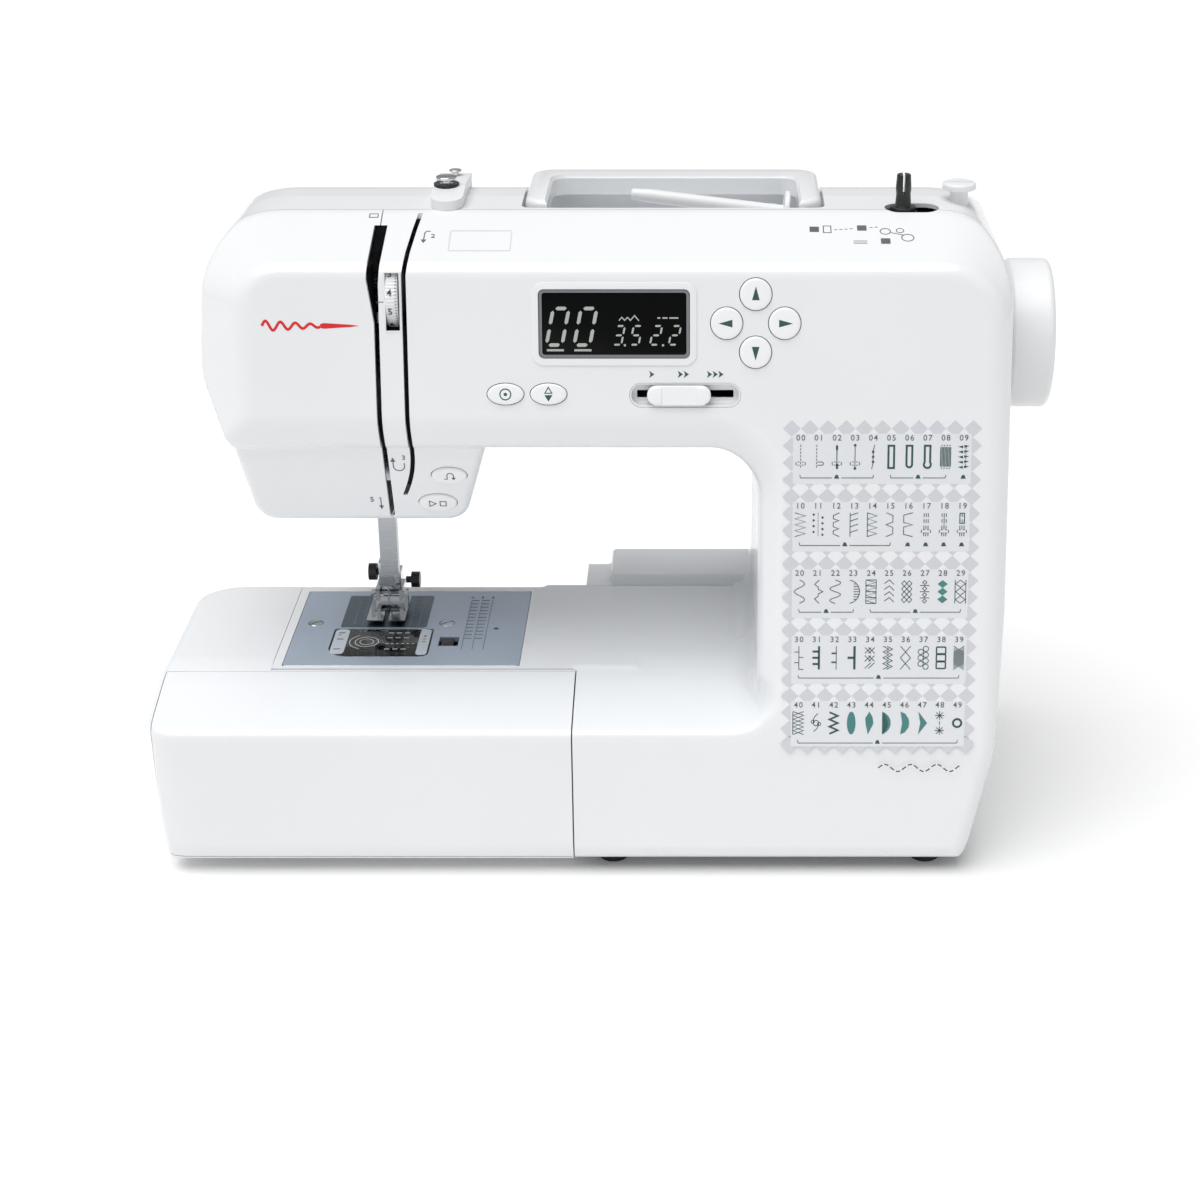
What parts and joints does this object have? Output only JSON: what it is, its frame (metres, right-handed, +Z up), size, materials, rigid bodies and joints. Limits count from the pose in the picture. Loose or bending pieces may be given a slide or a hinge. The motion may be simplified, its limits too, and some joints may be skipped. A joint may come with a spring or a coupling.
{
  "type": "sewing machine",
  "caption": "Computerised household sewing machine with a free arm, drop-in bobbin, removable extension table, fold-down handle, keypad display and side handwheel.",
  "frame": {"origin": "on the table top under the middle of the machine's bounding box", "axes": "+X towards the handwheel, +Y from the operator to the back, +Z up"},
  "size_m": [0.402, 0.178, 0.2986],
  "materials": {
    "cover": "glossy white moulded ABS",
    "panel_white": "satin white moulded plastic",
    "button": "satin white key caps",
    "dark_plastic": "fine-grained dark plastic",
    "grey_plastic": "dark grey moulded plastic",
    "foot_rubber": "matt rubber",
    "plate_steel": "finely brushed stainless steel",
    "mechanism_steel": "ground and polished steel",
    "chrome": "bright plated",
    "casting": "die-cast, as cast",
    "clear_plastic": "clear polycarbonate",
    "display": "dark display lens",
    "circuit": "circuit board laminate",
    "motor_shell": "zinc-plated motor case"
  },
  "bodies": {
    "frame": {"front_cover": "cover", "rear_cover": "cover", "face_cover": "cover", "base_plate": "panel_white", "foot_front_right": "foot_rubber", "foot_front_left": "foot_rubber", "foot_rear_right": "foot_rubber", "foot_rear_left": "foot_rubber", "free_arm_cover": "cover", "needle_plate": "plate_steel", "bobbin_holder": "dark_plastic", "bobbin": "clear_plastic", "chassis": "casting", "motor": "motor_shell", "motor_belt": "foot_rubber", "timing_belt": "foot_rubber", "control_board": "circuit", "display_window": "display", "inlet_socket": "dark_plastic", "thread_guide": "panel_white", "winder_stopper": "panel_white"},
    "drive": {"handwheel": "panel_white", "upper_shaft": "mechanism_steel", "drive_pulley": "grey_plastic"},
    "lower_drive": {"lower_shaft": "mechanism_steel"},
    "hook": {"rotary_hook": "chrome"},
    "motor_rotor": {"motor_pulley": "mechanism_steel"},
    "needle_carriage": {"needle_bar": "mechanism_steel", "needle_clamp": "casting", "needle_clamp_screw": "dark_plastic", "needle": "chrome"},
    "take_up": {"take_up_lever": "chrome"},
    "threader": {"needle_threader": "casting"},
    "presser": {"presser_bar": "mechanism_steel", "foot_holder": "chrome", "foot_thumbscrew": "dark_plastic"},
    "foot": {"presser_foot": "chrome"},
    "lifter": {"presser_lifter": "grey_plastic"},
    "feed": {"feed_dog": "mechanism_steel"},
    "drop_lever": {"drop_feed_lever": "grey_plastic"},
    "dial": {"tension_dial": "panel_white"},
    "buttonhole": {"buttonhole_lever": "panel_white"},
    "table": {"extension_table": "cover"},
    "lid": {"accessory_lid": "cover"},
    "bobbin_cover": {"bobbin_cover_plate": "clear_plastic"},
    "release": {"hook_cover_release": "dark_plastic"},
    "handle": {"carry_handle": "cover"},
    "spool": {"spool_pin": "panel_white"},
    "winder_arm": {"winder_carrier": "grey_plastic"},
    "spindle": {"winder_spindle": "dark_plastic"},
    "slider": {"speed_slider": "button"},
    "rocker": {"power_switch": "dark_plastic"},
    "key_up_cap": {"key_up": "button"},
    "key_down_cap": {"key_down": "button"},
    "key_left_cap": {"key_left": "button"},
    "key_right_cap": {"key_right": "button"},
    "lock_button_cap": {"lock_button": "button"},
    "needle_position_button_cap": {"needle_position_button": "button"},
    "reverse_button_cap": {"reverse_button": "button"},
    "start_stop_button_cap": {"start_stop_button": "button"}
  },
  "joints": [
    {"name": "handwheel_turn", "type": "hinge", "parent": "frame", "child": "drive", "pos_m": [0, 0.02, 0.2195], "axis": [1, 0, 0], "continuous": true},
    {"name": "lower_shaft_turn", "type": "hinge", "parent": "frame", "child": "lower_drive", "pos_m": [0, 0.02265, 0.046], "axis": [1, 0, 0], "continuous": true},
    {"name": "hook_turn", "type": "hinge", "parent": "frame", "child": "hook", "pos_m": [-0.104, 0.003, 0.06], "axis": [0, 0, 1], "continuous": true},
    {"name": "motor_turn", "type": "hinge", "parent": "frame", "child": "motor_rotor", "pos_m": [0, -0.035, 0.112], "axis": [1, 0, 0], "continuous": true},
    {"name": "needle_bar_slide", "type": "slide", "parent": "frame", "child": "needle_carriage", "axis": [0, 0, 1], "range_m": [-0.0055, 0.025]},
    {"name": "take_up_swing", "type": "hinge", "parent": "frame", "child": "take_up", "pos_m": [-0.092, 0.008, 0.222], "axis": [-1, 0, 0], "range_deg": [-6, 27.5]},
    {"name": "threader_slide", "type": "slide", "parent": "frame", "child": "threader", "axis": [0, 0, -1], "range_m": [0, 0.022]},
    {"name": "presser_bar_slide", "type": "slide", "parent": "frame", "child": "presser", "axis": [0, 0, 1], "range_m": [0, 0.0055]},
    {"name": "presser_foot_tilt", "type": "hinge", "parent": "presser", "child": "foot", "pos_m": [-0.104, 0.0263, 0.0875], "axis": [-1, 0, 0], "range_deg": [-1.8, 7]},
    {"name": "lifter_turn", "type": "hinge", "parent": "frame", "child": "lifter", "pos_m": [-0.091, 0.0463, 0.1655], "axis": [1, 0, 0], "range_deg": [0, 40]},
    {"name": "feed_drop", "type": "slide", "parent": "frame", "child": "feed", "axis": [0, 0, -1], "range_m": [0, 0.0025]},
    {"name": "drop_lever_slide", "type": "slide", "parent": "frame", "child": "drop_lever", "axis": [1, 0, 0], "range_m": [0, 0.0125]},
    {"name": "tension_dial_turn", "type": "hinge", "parent": "frame", "child": "dial", "pos_m": [-0.085, -0.04003, 0.255], "axis": [1, 0, 0], "range_deg": [-150, 150]},
    {"name": "buttonhole_lever_slide", "type": "slide", "parent": "frame", "child": "buttonhole", "axis": [0, 0, -1], "range_m": [0, 0.05]},
    {"name": "extension_table_slide", "type": "slide", "parent": "frame", "child": "table", "axis": [-1, 0, 0], "range_m": [0, 0.17]},
    {"name": "accessory_lid_turn", "type": "hinge", "parent": "table", "child": "lid", "pos_m": [-0.105, -0.0893, 0.0088], "axis": [1, 0, 0], "range_deg": [0, 90]},
    {"name": "bobbin_cover_lift", "type": "slide", "parent": "frame", "child": "bobbin_cover", "axis": [0, 0, 1], "range_m": [0, 0.013]},
    {"name": "cover_release_slide", "type": "slide", "parent": "frame", "child": "release", "axis": [1, 0, 0], "range_m": [0, 0.0022], "stiffness_N_per_m": 120, "springref_m": -0.001},
    {"name": "handle_turn", "type": "hinge", "parent": "frame", "child": "handle", "pos_m": [0.032, 0.002, 0.2815], "axis": [1, 0, 0], "range_deg": [0, 95]},
    {"name": "spool_pin_lift", "type": "hinge", "parent": "frame", "child": "spool", "pos_m": [0.075, 0.015, 0.274], "axis": [0, 1, 0], "range_deg": [-5, 10]},
    {"name": "winder_slide", "type": "slide", "parent": "frame", "child": "winder_arm", "axis": [1, 0, 0], "range_m": [0, 0.008]},
    {"name": "winder_spin", "type": "hinge", "parent": "winder_arm", "child": "spindle", "pos_m": [0.132, -0.007, 0.286], "axis": [0, 0, 1], "continuous": true},
    {"name": "key_up_press", "type": "slide", "parent": "frame", "child": "key_up_cap", "axis": [0, 0.984, -0.178], "range_m": [0, 0.001], "stiffness_N_per_m": 300, "springref_m": -0.0008},
    {"name": "key_down_press", "type": "slide", "parent": "frame", "child": "key_down_cap", "axis": [0, 0.984, -0.178], "range_m": [0, 0.001], "stiffness_N_per_m": 300, "springref_m": -0.0008},
    {"name": "key_left_press", "type": "slide", "parent": "frame", "child": "key_left_cap", "axis": [0, 0.984, -0.178], "range_m": [0, 0.001], "stiffness_N_per_m": 300, "springref_m": -0.0008},
    {"name": "key_right_press", "type": "slide", "parent": "frame", "child": "key_right_cap", "axis": [0, 0.984, -0.178], "range_m": [0, 0.001], "stiffness_N_per_m": 300, "springref_m": -0.0008},
    {"name": "lock_button_press", "type": "slide", "parent": "frame", "child": "lock_button_cap", "axis": [0, 0.984, -0.178], "range_m": [0, 0.001], "stiffness_N_per_m": 300, "springref_m": -0.0008},
    {"name": "needle_position_button_press", "type": "slide", "parent": "frame", "child": "needle_position_button_cap", "axis": [0, 0.984, -0.178], "range_m": [0, 0.001], "stiffness_N_per_m": 300, "springref_m": -0.0008},
    {"name": "reverse_button_press", "type": "slide", "parent": "frame", "child": "reverse_button_cap", "axis": [0, 0.9301, 0.3674], "range_m": [0, 0.001], "stiffness_N_per_m": 300, "springref_m": -0.0008},
    {"name": "start_stop_button_press", "type": "slide", "parent": "frame", "child": "start_stop_button_cap", "axis": [0, 0.9301, 0.3674], "range_m": [0, 0.001], "stiffness_N_per_m": 300, "springref_m": -0.0008},
    {"name": "speed_slide", "type": "slide", "parent": "frame", "child": "slider", "axis": [1, 0, 0], "range_m": [-0.0065, 0.0115]},
    {"name": "power_rock", "type": "hinge", "parent": "frame", "child": "rocker", "pos_m": [0.174, 0.006, 0.1135], "axis": [0, -1, 0], "range_deg": [0, 8]}
  ],
  "couplings": [
    {"joint": "lower_shaft_turn", "follows": "handwheel_turn", "ratio": 1},
    {"joint": "hook_turn", "follows": "handwheel_turn", "ratio": -2},
    {"joint": "motor_turn", "follows": "handwheel_turn", "ratio": 7},
    {"joint": "take_up_swing", "follows": "needle_bar_slide", "rad_per_m": 18.85},
    {"joint": "lifter_turn", "follows": "presser_bar_slide", "rad_per_m": 126},
    {"joint": "drop_lever_slide", "follows": "feed_drop", "ratio": 5}
  ]
}
